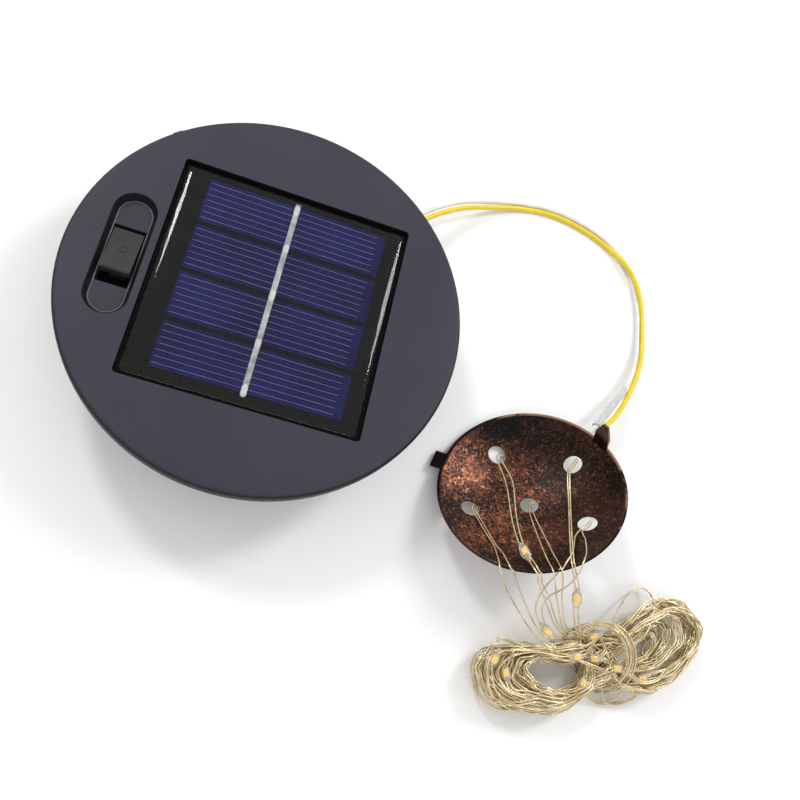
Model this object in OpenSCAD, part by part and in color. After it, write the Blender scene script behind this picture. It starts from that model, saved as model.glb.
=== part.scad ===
/* [Lid] */
// Diameter of the round lid
lid_d = 80; // [78:0.5:100]
// Thickness of the lid's flange
flange_t = 2.8; // [2.7:0.1:4]
// Radius that rounds the flange's top edge
lid_edge_r = 0.9; // [0.3:0.1:1.2]
// Depth of the plug that sinks into the housing
plug_h = 1.2; // [1:0.1:2]
// Gap between the plug and the housing wall
plug_gap = 0.15; // [0.1:0.05:0.3]
// Length of the moulding nub on the rim
nub_l = 0.4; // [0.2:0.1:0.8]
// Direction of the moulding nub
nub_angle = 132; // [90:1:180]

/* [Panel] */
// Side of the square panel recess
recess_side = 47.7; // [36:0.1:48]
// Depth of the panel recess
recess_depth = 2.6; // [2.2:0.1:2.6]
// How far the recess is off the lid's middle, along X
panel_x = 0.4; // [-1:0.1:1]
// How far the recess is off the lid's middle, along Y
panel_y = 0.4; // [-1:0.1:1]
// Gap between the panel and the recess wall
panel_gap = 0.45; // [0.2:0.05:0.8]
// Thickness of the panel's circuit board
panel_t = 1.2; // [0.8:0.1:1.2]
// Thickness of the foam tape under the panel
tape_t = 0.3; // [0.2:0.1:0.4]
// Number of solar cell strips
cell_count = 4; // [2:1:6]
// Bare board on average beside the cells, at each side
cell_margin_x = 4.65; // [3:0.05:8]
// Bare board on average past the cells, at each end
cell_margin_y = 2.5; // [1.5:0.05:8]
// Gap between two strips
cell_gap = 1.1; // [0.4:0.1:1.4]
// Thickness of a cell
cell_t = 0.2; // [0.15:0.05:0.3]
// How far the cells are off the panel's middle, along X
cell_x = 0.65; // [-1:0.05:1]
// How far the cells are off the panel's middle, along Y
cell_y = 0.45; // [-1:0.05:1]
// Width of the silver busbar
busbar_w = 1.1; // [1:0.1:2]
// Thickness of the clear epoxy over the board
epoxy_t = 0.7; // [0.5:0.05:0.8]

/* [Switch] */
// Width of the switch recess
switch_w = 8.6; // [8:0.1:9]
// Length of the switch recess
switch_l = 26.4; // [22:0.1:28]
// Depth of the switch recess
switch_depth = 1.8; // [1.2:0.1:2]
// How far the recess walls slope in
switch_slope = 0.8; // [0.4:0.1:1]
// Distance of the switch from the lid's middle
switch_x = 29.1; // [28.9:0.1:29.2]
// Width of the rocker
rocker_w = 5.8; // [4.8:0.02:7]
// Length of the rocker
rocker_l = 10; // [8:0.1:10.5]
// Tilt of the rocker each way from level
rocker_tilt = 12; // [8:1:13]
// Diameter of the rocker's pin
pin_d = 1.2; // [1:0.1:1.4]

/* [Housing] */
// Outer diameter of the drum
drum_d = 71; // [70.6:0.2:76]
// Wall of the drum
drum_wall = 1.5; // [1.2:0.1:1.6]
// Height of the drum
drum_h = 16.7; // [16.7:0.02:22]
// Thickness of the drum's floor
floor_t = 2; // [1.8:0.1:2.4]
// Thickness of the gasket under the flange
gasket_t = 0.5; // [0.4:0.1:1]
// Diameter of the lid screws
screw_d = 2; // [1.8:0.1:2.4]
// Distance of the lid screws from the middle
screw_ring_r = 29; // [28:0.1:29.5]
// Running gap on each side of the battery door
door_gap = 0.15; // [0.1:0.05:0.25]

/* [Battery] */
// Diameter of the rechargeable cell
battery_d = 10.5; // [8.5:0.05:10.5]
// Length of the rechargeable cell
battery_l = 44.5; // [40:0.1:45]
// Distance of the cell's axis from the housing's middle
battery_y = 10; // [10:0.1:10.5]

/* [Lead] */
// Diameter of each wire of the lead
wire_d = 1.2; // [1:0.1:1.4]
// Diameter of the thin wires inside the housing
inner_wire_d = 1; // [0.8:0.1:1]
// Direction in which the lead leaves the housing
lead_angle = 52; // [50:1:54]
// Height at which the lead leaves the housing
lead_z = 9; // [8.8:0.1:9.2]
// Distance between the lead's two wires
lead_pitch = 1.5; // [1.4:0.1:1.6]
// Diameter of the grommet's collar
grommet_d = 6; // [5.6:0.1:7]
// Outer diameter of the clear sleeve
sleeve_d = 1.9; // [1.8:0.1:2.4]

/* [Rose] */
// Diameter of the dished rose
rose_d = 40.2; // [38:0.2:40.2]
// Depth of its dish
rose_depth = 7.2; // [7:0.1:7.2]
// Thickness of its sheet
rose_t = 0.5; // [0.3:0.1:0.5]
// Diameter of its five holes
rose_hole_d = 4; // [3.6:0.1:5]
// Distance of the outer holes from the middle
rose_hole_r = 13.2; // [13:0.1:13.4]
// Tilt at which the rose lies
rose_tilt = 27.5; // [27:0.5:28]
// Width of its two tabs
tab_w = 4; // [3:0.1:5]

/* [Light strands] */
// Diameter of one strand, a pair of thin wires
strand_d = 0.7; // [0.5:0.05:0.7]
// Length of a clear light drop
drop_l = 4.4; // [3.6:0.1:5]
// Diameter of a clear light drop
drop_d = 2.1; // [1.9:0.1:2.2]
// Height of the hank of coiled strands
hank_h = 8; // [7:0.5:9]

/* [Hidden] */

smooth = 96;       // facets of large round shapes
fine = 32;         // facets of small round shapes
seat_lip = 0.3;    // lip round the flange's underside, past the gasket
cut = 0.5;         // how far a cutter runs past a face
tube_sides = 8;    // sides of a cord's tube

// heights, from the table up
lid_r = lid_d / 2;
drum_r = drum_d / 2;
bore_r = drum_r - drum_wall;
flange_z = drum_h + gasket_t;
lid_top = flange_z + flange_t;
plug_z = flange_z - plug_h;
seat_z = flange_z - seat_lip;
plug_r = bore_r - plug_gap;
tape_z = lid_top - recess_depth;
board_z = tape_z + tape_t;
cell_z = board_z + panel_t;
panel_side = recess_side - 2 * panel_gap;
cell_w = panel_side - 2 * cell_margin_x;
cell_stack_h = panel_side - 2 * cell_margin_y;
strip_h = (cell_stack_h - (cell_count - 1) * cell_gap) / cell_count;
busbar_t = 0.1;
busbar_over = 0.8;         // busbar past the cells at each end
busbar_dx = -0.55;         // busbar off the cells' middle
busbar_h = cell_stack_h + 2 * busbar_over;

// wires down from the panel
panel_wire_x = 3;
panel_wire_y = 17;
panel_wire_hole_d = 2.2;

// switch
switch_floor = lid_top - switch_depth;
pivot_z = plug_z - 1.2;
rocker_top = switch_floor - pivot_z + rocker_l / 2 * sin(rocker_tilt);
rocker_hole_w = rocker_w + 0.6;
rocker_hole_l = rocker_l + 2.6;
rocker_r = 1.7;            // boss round the rocker's pin
pin_fit = 0.03;            // running gap round the pin
switch_case_w = rocker_w + 1.8;
switch_case_l = 13;
switch_case_h = 7.7;
switch_case_floor = 2;
switch_case_wall = 0.7;
contact_t = 0.4;
terminal_w = 1.6;
terminal_t = 0.5;
terminal_l = 3.5;
terminal_y = 3.2;
terminal_end = plug_z - switch_case_h - terminal_l;

// screws
screw_angles = [30, 150, 240, 300];
screw_head_d = 4;
screw_head_h = 1.4;
screw_recess = 1.6;
pillar_d = 5.6;
boss_h = 4;
pillar_gap = 0.2;
pillar_top = plug_z - boss_h - pillar_gap;
screw_l = plug_z - screw_recess - screw_head_h - 1.5;

// battery bay and door
battery_x = 2;
battery_z = floor_t + 0.35 + battery_d / 2;
bay_gap = 0.55;
bay_half = battery_d / 2 + bay_gap;
bay_wall = 1.2;
bay_h = 5.6;
contact_h = 8;
contact_top = floor_t + 0.4 + contact_h;
contact_gap = 0.3;
spring_l = 4;
bay_x0 = battery_x - battery_l / 2 - spring_l - contact_gap;
bay_x1 = battery_x + battery_l / 2 + contact_gap + 0.2;
door_half = bay_half - door_gap;
tongue_w = 0.7;
tongue_t = 0.6;
groove_t = tongue_t + 2 * door_gap;
door_t = floor_t - 0.1;
door_ridge = 0.4;
spring_wire_d = 0.6;
spring_turns = 4;
spring_steps = 10;         // points in each turn of the spring

// circuit board
board_x0 = -8;
board_y0 = 6;
board_w = 23;
board_h = 15;
board_t = 1.2;
board_base = 5;
board_top = board_base + board_t;
post_d = 4;
post_at = [[-5.5, 8.5], [12.5, 8.5]];
board_screw_d = 1.6;
board_screw_head = 2.8;

// grommet
grommet_bore_d = 4.4;
grommet_collar_t = 1;
grommet_l = 5;

// rose, lying on its round underside on a few wires
rose_r = rose_d / 2;
rose_sphere = (rose_r * rose_r + rose_depth * rose_depth) / (2 * rose_depth);
rose_lift = 0.6;
rose_xy = [64, -19.6];
rose_turn = -38.5;
rose_rim_z = rose_sphere + rose_lift - (rose_sphere - rose_depth) * cos(rose_tilt);
rose_holes = [18, 88, 167, 238];
left_tab_angle = 206;
left_tab_l = 2.3;
right_tab_angle = 82.5;
right_tab_l = 7;
right_tab_bend = 83;

// lead and strand routes, from the housing outwards
yellow_route = [[13.5, 17.5, 6.8], [19, 24, 8.8], [22, 26.9, 9], [25.2, 31, 9], [29.5, 37, 7.8],
  [38, 45, 4.6], [46, 49.8, 2], [54, 53.2, 0.7], [62, 54.4, 0.6], [70, 53.4, 0.6], [77, 51, 0.7],
  [83, 46.8, 1.7], [87, 41.5, 1.7], [89.4, 35, 0.8], [90.3, 29, 0.7], [90.3, 23.5, 1.4],
  [88.8, 16.6, 2.9], [86, 9.6, 4.9], [82.5, 3.2, 7.2], [78.9, -1.2, 8.8]];
white_route = [[12, 18.5, 6.8], [17.8, 25, 8.8], [20.8, 27.8, 9], [24, 31.9, 9], [28.5, 38.2, 7.8],
  [37, 46.3, 4.6], [45.3, 51.2, 2], [53.8, 54.6, 0.7], [62.2, 55.8, 0.6], [70.6, 54.8, 0.6],
  [77.8, 52.2, 0.6], [83.6, 47.6, 0.6], [86.4, 41.6, 0.6], [88.2, 35, 0.6], [88.9, 29, 0.7],
  [88.9, 23.5, 1.4], [87.6, 17, 2.9], [85.4, 12, 4.4], [77.6, -0.8, 8.7]];
strand_routes = [
  [[77.4, -2.8, 7.6], [73, -2.4, 2.4], [66, -5, 0.6], [60.4, -10.2, 0.4], [58.6, -11.9, 1.8],
    [60.4, -19, 5.2], [63, -29.5, 11], [66.1, -38.8, 16.9], [70.5, -41.8, 12], [76.5, -46, 6.5]],
  [[78.6, -3.2, 7.2], [76.4, -7.5, 5.4], [74.4, -10.6, 6.4], [73, -12.6, 8], [73.2, -20.4, 10.2],
    [72.8, -33.7, 18.2], [76.4, -38.2, 12.6], [78.4, -41.8, 9], [81, -46.5, 7]],
  [[76.6, -2.4, 7.2], [68, -5.5, 1.4], [65, -15, 0.9], [57.6, -23.4, 1.2], [54, -26, 3.6],
    [57, -33, 10.2], [60.9, -39.2, 15.1], [65.6, -42.5, 8.5], [71.5, -46.5, 5], [75.5, -50, 6]],
  [[79.3, -4, 7.4], [80.5, -12, 6.2], [79.6, -21, 8.8], [77.2, -24.6, 12.4], [75.4, -26.4, 14.4],
    [75.2, -33.4, 19.1], [75.4, -37, 12.5], [71.6, -41, 8.2], [71.8, -44.2, 6.4], [75, -48, 6.8]],
  [[77.9, -3.6, 6.6], [72, -10, 2.6], [68, -19.4, 2.6], [66.7, -21.9, 4.6], [68.2, -32, 13.2],
    [69.4, -37.6, 18], [73.5, -41.5, 11.5], [78, -46, 6.8]]];
sleeve_from = [85.4, 12, 4.4];
sleeve_to = [77.6, -0.8, 8.7];
joint_start = [[77.4, -1.2, 8.6], [78.8, -1.5, 8.7]];   // the two solder joints, end to end
joint_ends = [[76.6, -2.6, 8], [78.6, -3, 8.2]];
joint_r = 0.7;
drop_spots = [[0, 6, 0.42], [1, 6, 0.62], [3, 8, 0.62]];  // strand, segment, share along it
drop_tip_r = 0.5;
chip_size = [1, 0.7, 0.4];
wire_fit = 0.04;
switch_wire_routes = [
  [[-switch_x, terminal_y, terminal_end - 0.3], [-24, 8, 3.6], [-12, 11, 4], [-7.2, 12, 6.8]],
  [[-switch_x, -terminal_y, terminal_end - 0.3], [-23, -1, 3.4], [-12, 6, 3.6], [-7.2, 9.8, 6.8]]];
battery_wire_routes = [
  [[bay_x0 + 0.3, 4.8 - battery_y, contact_top + 0.3],
    [bay_x0 + 2.5, 7.5 - battery_y, contact_top + 0.6], [-10, 2, 9], [-4, 7, board_top + 0.4]],
  [[bay_x1 - 0.25, 4.8 - battery_y, contact_top + 0.3],
    [bay_x1 - 2.5, 7.5 - battery_y, contact_top + 0.6], [17.5, 3, 9],
    [13.6, 13.2, board_top + 0.4]]];
hank_lobes = [
  [[[66.2, -57.6], 7], [[74, -57.2], 7.2], [[84.5, -51.5], 7]],
  [[[88, -49], 7], [[98, -44.5], 9.4], [[103.4, -40.6], 7.3]]];

function unit(v) = v / norm(v);
function heading(p, i) = unit(p[min(i + 1, len(p) - 1)] - p[max(i - 1, 0)]);
function arc(cx, cy, r, a0, a1, n) =
  [for (i = [0:n]) [cx + r * cos(a0 + (a1 - a0) * i / n), cy + r * sin(a0 + (a1 - a0) * i / n)]];
function along(route, i, s) = route[i] + (route[i + 1] - route[i]) * s;

// A tube swept along a route, with a steady sideways direction so that it doesn't twist
module cord(route, d, up = [0, 0, 1]) {
  n = tube_sides;
  side = [for (i = [0:len(route) - 1]) unit(cross(up, heading(route, i)))];
  rings = [for (i = [0:len(route) - 1]) for (j = [0:n - 1])
    route[i] + d / 2 * (cos(360 * j / n) * side[i]
      + sin(360 * j / n) * cross(heading(route, i), side[i]))];
  walls = [for (i = [0:len(route) - 2]) for (j = [0:n - 1])
    [i * n + j, (i + 1) * n + j, (i + 1) * n + (j + 1) % n, i * n + (j + 1) % n]];
  first = [for (j = [0:n - 1]) j];
  last = [for (j = [n - 1:-1:0]) (len(route) - 1) * n + j];
  polyhedron(points = rings, faces = concat([first], walls, [last]));
}

// Puts a child that stands along Z on the line between two points
module between(a, b) {
  v = unit(b - a);
  translate(a) rotate([0, acos(v[2]), atan2(v[1], v[0])]) children();
}

module plate(w, l, h, r) {
  linear_extrude(h) {
    square([w - 2 * r, l], center = true);
    square([w, l - 2 * r], center = true);
    for (x = [-1, 1], y = [-1, 1])
      translate([x * (w / 2 - r), y * (l / 2 - r)]) circle(r, $fn = fine);
  }
}

// A racetrack-shaped cutter whose walls slope in towards its floor
module racetrack_cut(w, l, depth, slope) {
  r = w / 2;
  straight = l / 2 - r;
  for (y = [-straight, straight]) translate([0, y, -depth]) {
    cylinder(r1 = r - slope, r2 = r, h = depth, $fn = smooth);
    translate([0, 0, depth]) cylinder(r = r, h = cut, $fn = smooth);
  }
  rotate([90, 0, 0]) linear_extrude(2 * straight, center = true)
    polygon([[-r + slope, -depth], [r - slope, -depth], [r, 0], [r, cut], [-r, cut], [-r, 0]]);
}

module at_screws() for (a = screw_angles) rotate(a) translate([screw_ring_r, 0]) children();
module at_panel(z) translate([panel_x, panel_y, z]) children();
module at_switch(z) translate([-switch_x, 0, z]) children();
module at_panel_wires(z)
  for (x = [-1, 1]) translate([x * panel_wire_x, panel_wire_y, z]) children();

// ---- lid and panel ----
module lid_cover() color([0.27, 0.26, 0.29]) difference() {
  union() {
    rotate_extrude($fn = smooth) polygon(concat([[0, plug_z], [plug_r, plug_z], [plug_r, flange_z],
      [drum_r + 0.25, flange_z], [drum_r + 0.25, seat_z], [lid_r - 0.3, seat_z],
      [lid_r, seat_z + 0.3]],
      arc(lid_r - lid_edge_r, lid_top - lid_edge_r, lid_edge_r, 0, 90, 5), [[0, lid_top]]));
    at_screws() translate([0, 0, plug_z - boss_h]) cylinder(d = pillar_d, h = boss_h + 0.2, $fn = fine);
    rotate(nub_angle) translate([lid_r - 1, -1, flange_z + 0.4])
      cube([1 + nub_l, 2, flange_t - lid_edge_r - 0.6]);
  }
  at_panel(tape_z) plate(recess_side, recess_side, recess_depth + cut, 0.8);
  at_switch(lid_top) racetrack_cut(switch_w, switch_l, switch_depth, switch_slope);
  at_switch(plug_z - cut) linear_extrude(plug_h + flange_t)
    square([rocker_hole_w, rocker_hole_l], center = true);
  at_panel_wires(plug_z - cut) cylinder(d = panel_wire_hole_d, h = plug_h + flange_t, $fn = fine);
  at_screws() translate([0, 0, plug_z - boss_h - cut])
    cylinder(d = screw_d - 0.1, h = boss_h + cut, $fn = fine);
}

module panel_tape() color([0.9, 0.9, 0.88]) difference() {
  at_panel(tape_z) plate(panel_side - 3, panel_side - 3, tape_t, 1);
  at_panel_wires(tape_z - cut) cylinder(d = panel_wire_hole_d, h = tape_t + 2 * cut, $fn = fine);
}

module panel_board() color([0.12, 0.12, 0.12])
  at_panel(board_z) plate(panel_side, panel_side, panel_t, 0.6);

module cell_strips(t) for (i = [0:cell_count - 1])
  at_panel(cell_z) translate([cell_x - cell_w / 2,
    cell_y - cell_stack_h / 2 + i * (strip_h + cell_gap), 0]) cube([cell_w, strip_h, t]);

module busbar_strip(t) at_panel(cell_z + cell_t)
  translate([cell_x + busbar_dx - busbar_w / 2, cell_y - busbar_h / 2, 0])
    cube([busbar_w, busbar_h, t]);

module solar_cells() color([0.16, 0.15, 0.4]) cell_strips(cell_t);
module cell_busbar() color([0.8, 0.8, 0.82]) busbar_strip(busbar_t);

module panel_epoxy() color([0.7, 0.75, 0.8, 0.35]) difference() {
  at_panel(cell_z) plate(panel_side - 0.4, panel_side - 0.4, epoxy_t, 0.8);
  cell_strips(cell_t);
  busbar_strip(busbar_t);
}

// ---- switch ----
module switch_body() color([0.1, 0.1, 0.1]) at_switch(plug_z) difference() {
  translate([0, 0, -switch_case_h]) plate(switch_case_w, switch_case_l, switch_case_h, 1.5);
  translate([-switch_case_w / 2 + switch_case_wall, -switch_case_l / 2 + 0.6,
    -switch_case_h + switch_case_floor])
    cube([switch_case_w - 2 * switch_case_wall, switch_case_l - 1.2, switch_case_h]);
  translate([0, 0, pivot_z - plug_z]) rotate([0, 90, 0])
    cylinder(d = pin_d, h = switch_case_w + cut, center = true, $fn = fine);
}

// The rocker rests pressed down at its +Y end
module switch_rocker() color([0.13, 0.13, 0.13]) at_switch(pivot_z) rotate([-rocker_tilt, 0, 0])
  difference() {
    rotate([90, 0, 90]) linear_extrude(rocker_w, center = true) {
      polygon([[-rocker_l / 2, rocker_top - 1.6], [-rocker_r, 0], [rocker_r, 0],
        [rocker_l / 2, rocker_top - 1.6], [rocker_l / 2, rocker_top - 0.3],
        [rocker_l / 2 - 0.3, rocker_top], [0.3 - rocker_l / 2, rocker_top],
        [-rocker_l / 2, rocker_top - 0.3]]);
      circle(rocker_r, $fn = fine);
    }
    rotate([0, 90, 0]) cylinder(d = pin_d + 2 * pin_fit, h = rocker_w + cut, center = true, $fn = fine);
    translate([0, 0, rocker_top + 1.3]) sphere(1.6, $fn = fine);
  }

module switch_pin() color([0.7, 0.7, 0.72]) at_switch(pivot_z) rotate([0, 90, 0])
  cylinder(d = pin_d, h = switch_case_w, center = true, $fn = fine);

module switch_contact() color([0.75, 0.6, 0.3]) at_switch(pivot_z) rotate([-rocker_tilt, 0, 0])
  translate([-rocker_w / 4, -rocker_l / 4, -rocker_r - contact_t])
    cube([rocker_w / 2, rocker_l / 2, contact_t]);

module switch_terminals() color([0.75, 0.6, 0.3])
  for (y = [-terminal_y, terminal_y]) at_switch(plug_z - switch_case_h)
    translate([-terminal_w / 2, y - terminal_t / 2, -terminal_l])
      cube([terminal_w, terminal_t, terminal_l]);

// ---- housing ----
module housing() color([0.16, 0.16, 0.18]) difference() {
  union() {
    difference() {
      cylinder(r = drum_r, h = drum_h, $fn = smooth);
      translate([0, 0, floor_t]) cylinder(r = bore_r, h = drum_h, $fn = smooth);
    }
    at_screws() cylinder(d = pillar_d, h = pillar_top, $fn = fine);
    for (p = post_at) translate([p[0], p[1], 0]) cylinder(d = post_d, h = board_base, $fn = fine);
    for (s = [-1, 1]) translate([bay_x0 - bay_wall, -battery_y + s * (bay_half + bay_wall / 2)
      - bay_wall / 2, floor_t - 0.2]) cube([bay_x1 - bay_x0 + 2 * bay_wall, bay_wall, bay_h + 0.2]);
    for (x = [bay_x0 - bay_wall, bay_x1]) translate([x, -battery_y - bay_half - 0.2, floor_t + 0.1])
      cube([bay_wall, 2 * bay_half + 0.4, bay_h - 0.1]);
    translate([bay_x1, -battery_y - bay_half, floor_t - 0.2])
      cube([bay_wall, 2 * bay_half, 0.4]);
  }
  translate([-drum_r - cut, -battery_y - bay_half, -cut])
    cube([drum_r + cut + bay_x1, 2 * bay_half, floor_t + cut]);
  translate([-drum_r - cut, -battery_y - bay_half - tongue_w - 0.05, (door_t - groove_t) / 2])
    cube([drum_r + cut + bay_x1, 2 * (bay_half + tongue_w + 0.05), groove_t]);
  at_screws() translate([0, 0, -cut]) {
    cylinder(d = screw_head_d + 0.4, h = screw_recess + screw_head_h + cut, $fn = fine);
    cylinder(d = screw_d + 0.4, h = drum_h, $fn = fine);
  }
  for (p = post_at) translate([p[0], p[1], 1])
    cylinder(d = board_screw_d - 0.1, h = board_base, $fn = fine);
  rotate(lead_angle) translate([drum_r - 2 * drum_wall, 0, lead_z]) rotate([0, 90, 0])
    cylinder(d = grommet_bore_d, h = 3 * drum_wall, $fn = fine);
}

module lid_gasket() color([0.1, 0.1, 0.1]) translate([0, 0, drum_h]) difference() {
  cylinder(r = drum_r, h = gasket_t, $fn = smooth);
  translate([0, 0, -cut]) cylinder(r = bore_r, h = gasket_t + 2 * cut, $fn = smooth);
}

module lid_screws() color([0.6, 0.6, 0.62]) at_screws() translate([0, 0, screw_recess])
  difference() {
    union() {
      cylinder(d = screw_head_d, h = screw_head_h, $fn = fine);
      cylinder(d = screw_d - 0.1, h = screw_head_h + screw_l, $fn = fine);
    }
    for (a = [0, 90]) rotate(a) translate([-1.2, -0.25, -cut]) cube([2.4, 0.5, cut + 0.7]);
  }

// The door slides out of the drum's foot along -X
module battery_door() color([0.15, 0.15, 0.17]) intersection() {
  cylinder(r = drum_r, h = floor_t, $fn = smooth);
  difference() {
    union() {
      translate([-drum_r, -battery_y - door_half, 0])
        cube([drum_r + bay_x1 - door_gap, 2 * door_half, door_t]);
      translate([-drum_r, -battery_y - door_half - tongue_w, (door_t - tongue_t) / 2])
        cube([drum_r + bay_x1 - door_gap, 2 * (door_half + tongue_w), tongue_t]);
    }
    for (i = [0:4]) translate([-drum_r + 7 + 1.6 * i, -battery_y - door_half / 2, -cut])
      cube([0.7, door_half, cut + door_ridge]);
  }
}

// ---- battery and its contacts ----
module along_battery(x) translate([x, -battery_y, battery_z]) rotate([0, 90, 0]) children();

module battery_can() color([0.75, 0.75, 0.77]) along_battery(battery_x - battery_l / 2) {
  cylinder(d = battery_d - 0.4, h = battery_l - 0.8, $fn = smooth);
  cylinder(d = 3.8, h = battery_l, $fn = fine);
}

module battery_sleeve() color([0.25, 0.45, 0.3]) difference() {
  along_battery(battery_x - battery_l / 2 + 0.4) cylinder(d = battery_d, h = battery_l - 1.4, $fn = smooth);
  along_battery(battery_x - battery_l / 2) cylinder(d = battery_d - 0.4, h = battery_l, $fn = smooth);
}

module spring_contact() color([0.78, 0.78, 0.8]) {
  translate([bay_x0 + 0.1, -battery_y - bay_half + 0.4, floor_t + 0.4])
    cube([0.4, 2 * bay_half - 0.8, contact_h]);
  coil = [for (i = [0:spring_turns * spring_steps]) let (s = i / (spring_turns * spring_steps),
    r = 3.6 - 1.6 * s, a = 360 * i / spring_steps)
    [bay_x0 + 0.6 + s * (spring_l - 0.7), -battery_y + r * cos(a), battery_z + r * sin(a)]];
  cord(coil, spring_wire_d, [1, 0, 0]);
}

module plate_contact() color([0.78, 0.78, 0.8])
  translate([bay_x1 - 0.45, -battery_y - bay_half + 0.4, floor_t + 0.4])
    cube([0.4, 2 * bay_half - 0.8, contact_h]);

// ---- circuit ----
module circuit_board() color([0.1, 0.35, 0.2]) difference() {
  translate([board_x0, board_y0, board_base]) cube([board_w, board_h, board_t]);
  for (p = post_at) translate([p[0], p[1], board_base - cut])
    cylinder(d = board_screw_d + 0.3, h = board_t + 2 * cut, $fn = fine);
}

module board_screws() color([0.6, 0.6, 0.62]) for (p = post_at) translate([p[0], p[1], 0]) {
  translate([0, 0, board_top]) cylinder(d = board_screw_head, h = 1, $fn = fine);
  translate([0, 0, 1.6]) cylinder(d = board_screw_d - 0.1, h = board_top - 1, $fn = fine);
}

module driver_chip() color([0.1, 0.1, 0.1]) {
  translate([-1.5, 11.4, board_top + 0.2]) cube([5, 4, 1.5]);
  for (i = [0:3], y = [10.6, 15.2]) translate([-1.2 + 1.27 * i, y, board_top]) cube([0.5, 1, 0.7]);
}

module inductor() color([0.35, 0.6, 0.4]) translate([4, 8.6, board_top + 1.7]) rotate([0, 90, 0]) {
  cylinder(d = 3.2, h = 6, $fn = fine);
  translate([0, 0, -1]) cylinder(d = 0.6, h = 8, $fn = fine);
}

module diode() color([0.12, 0.12, 0.12]) translate([6.5, 17.6, board_top + 1.1]) rotate([0, 90, 0]) {
  cylinder(d = 2, h = 3.4, $fn = fine);
  translate([0, 0, -0.8]) cylinder(d = 0.5, h = 5, $fn = fine);
}

module panel_wires() color([0.7, 0.1, 0.1]) at_panel_wires(board_top)
  cylinder(d = inner_wire_d, h = board_z - board_top, $fn = fine);

module switch_wires() color([0.2, 0.2, 0.2])
  for (route = switch_wire_routes) cord(route, inner_wire_d);

module battery_wires() color([0.7, 0.1, 0.1])
  for (route = battery_wire_routes) cord(route, inner_wire_d);

// ---- lead ----
module lead_grommet() color([0.12, 0.12, 0.12]) rotate(lead_angle)
  translate([drum_r, 0, lead_z]) rotate([0, 90, 0]) difference() {
    union() {
      translate([0, 0, -drum_wall - grommet_collar_t])
        cylinder(d = grommet_bore_d, h = grommet_l, $fn = fine);
      translate([0, 0, 0.15])
        cylinder(d1 = grommet_d, d2 = grommet_d - 1.2, h = grommet_collar_t, $fn = fine);
      translate([0, 0, -drum_wall - grommet_collar_t - 0.15])
        cylinder(d = grommet_d, h = 0.9, $fn = fine);
    }
    for (s = [-1, 1]) translate([0, s * lead_pitch / 2, -drum_wall - 3 * grommet_collar_t])
      cylinder(d = wire_d + 0.2, h = 2 * grommet_l, $fn = fine);
  }

module lead_yellow() color([0.95, 0.8, 0.1]) cord(yellow_route, wire_d);
module lead_white() color([0.93, 0.93, 0.93]) cord(white_route, wire_d);

module lead_sleeve() color([0.9, 0.92, 0.93, 0.6]) between(sleeve_from, sleeve_to) difference() {
  cylinder(d = sleeve_d, h = norm(sleeve_to - sleeve_from), $fn = fine);
  translate([0, 0, -cut])
    cylinder(d = wire_d + 2 * wire_fit, h = 2 * norm(sleeve_to - sleeve_from), $fn = fine);
}

module splice_joints() color([0.75, 0.75, 0.77]) for (i = [0, 1]) {
  l = norm(joint_ends[i] - joint_start[i]);
  between(joint_start[i], joint_ends[i]) rotate_extrude($fn = fine)
    polygon(concat(arc(0, 0, joint_r, -90, 0, 5), arc(0, l, joint_r, 0, 90, 5)));
}

// ---- rose ----
// The rose's own frame has its rim in the XY plane and its dish below, with +X towards its high side
module in_rose() translate([rose_xy[0], rose_xy[1], rose_rim_z]) rotate([0, -rose_tilt, rose_turn])
  children();

module rose_plate() color([0.43, 0.25, 0.17]) in_rose() difference() {
  union() {
    intersection() {
      translate([0, 0, rose_sphere - rose_depth]) difference() {
        sphere(rose_sphere, $fn = smooth);
        sphere(rose_sphere - rose_t, $fn = smooth);
      }
      translate([0, 0, -rose_depth - cut]) cylinder(r = rose_r, h = rose_depth + cut, $fn = smooth);
    }
    rotate(left_tab_angle) translate([rose_r - 0.9, -tab_w / 2, -0.5])
      cube([left_tab_l + 0.9, tab_w, rose_t]);
    rotate(right_tab_angle) translate([rose_r - 0.7, 0, -0.7]) rotate([0, -right_tab_bend, 0])
      linear_extrude(rose_t) polygon([[0, -tab_w / 2], [right_tab_l * 0.55, -tab_w / 2],
        [right_tab_l, -tab_w / 6], [right_tab_l, tab_w / 6], [right_tab_l * 0.55, tab_w / 2],
        [0, tab_w / 2]]);
  }
  translate([0, 0, -rose_depth - cut]) cylinder(d = rose_hole_d, h = rose_depth, $fn = fine);
  for (a = rose_holes) rotate(a) translate([rose_hole_r, 0, -rose_depth])
    cylinder(d = rose_hole_d, h = rose_depth, $fn = fine);
}

// ---- light strands ----
module strand(i) color([0.78, 0.72, 0.55]) cord(strand_routes[i], strand_d, [0.55, 0.35, 0.75]);
module strand_1() strand(0);
module strand_2() strand(1);
module strand_3() strand(2);
module strand_4() strand(3);
module strand_5() strand(4);

module at_drops() for (spot = drop_spots) {
  route = strand_routes[spot[0]];
  between(along(route, spot[1], spot[2]), route[spot[1] + 1]) children();
}

module chip_block() translate([strand_d / 2 + 0.08, -chip_size[1] / 2, -chip_size[0] / 2])
  cube([chip_size[2], chip_size[1], chip_size[0]]);

module light_drops() color([0.9, 0.88, 0.75, 0.5]) at_drops() difference() {
  rotate_extrude($fn = fine) polygon(concat([[0, -drop_l / 2], [drop_tip_r, -drop_l / 2]],
    arc(0, 0, drop_d / 2, -50, 50, 8), [[drop_tip_r, drop_l / 2], [0, drop_l / 2]]));
  cylinder(d = strand_d + 2 * wire_fit, h = 2 * drop_l, center = true, $fn = fine);
  chip_block();
}

module light_chips() color([0.95, 0.8, 0.25]) at_drops() chip_block();

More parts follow.
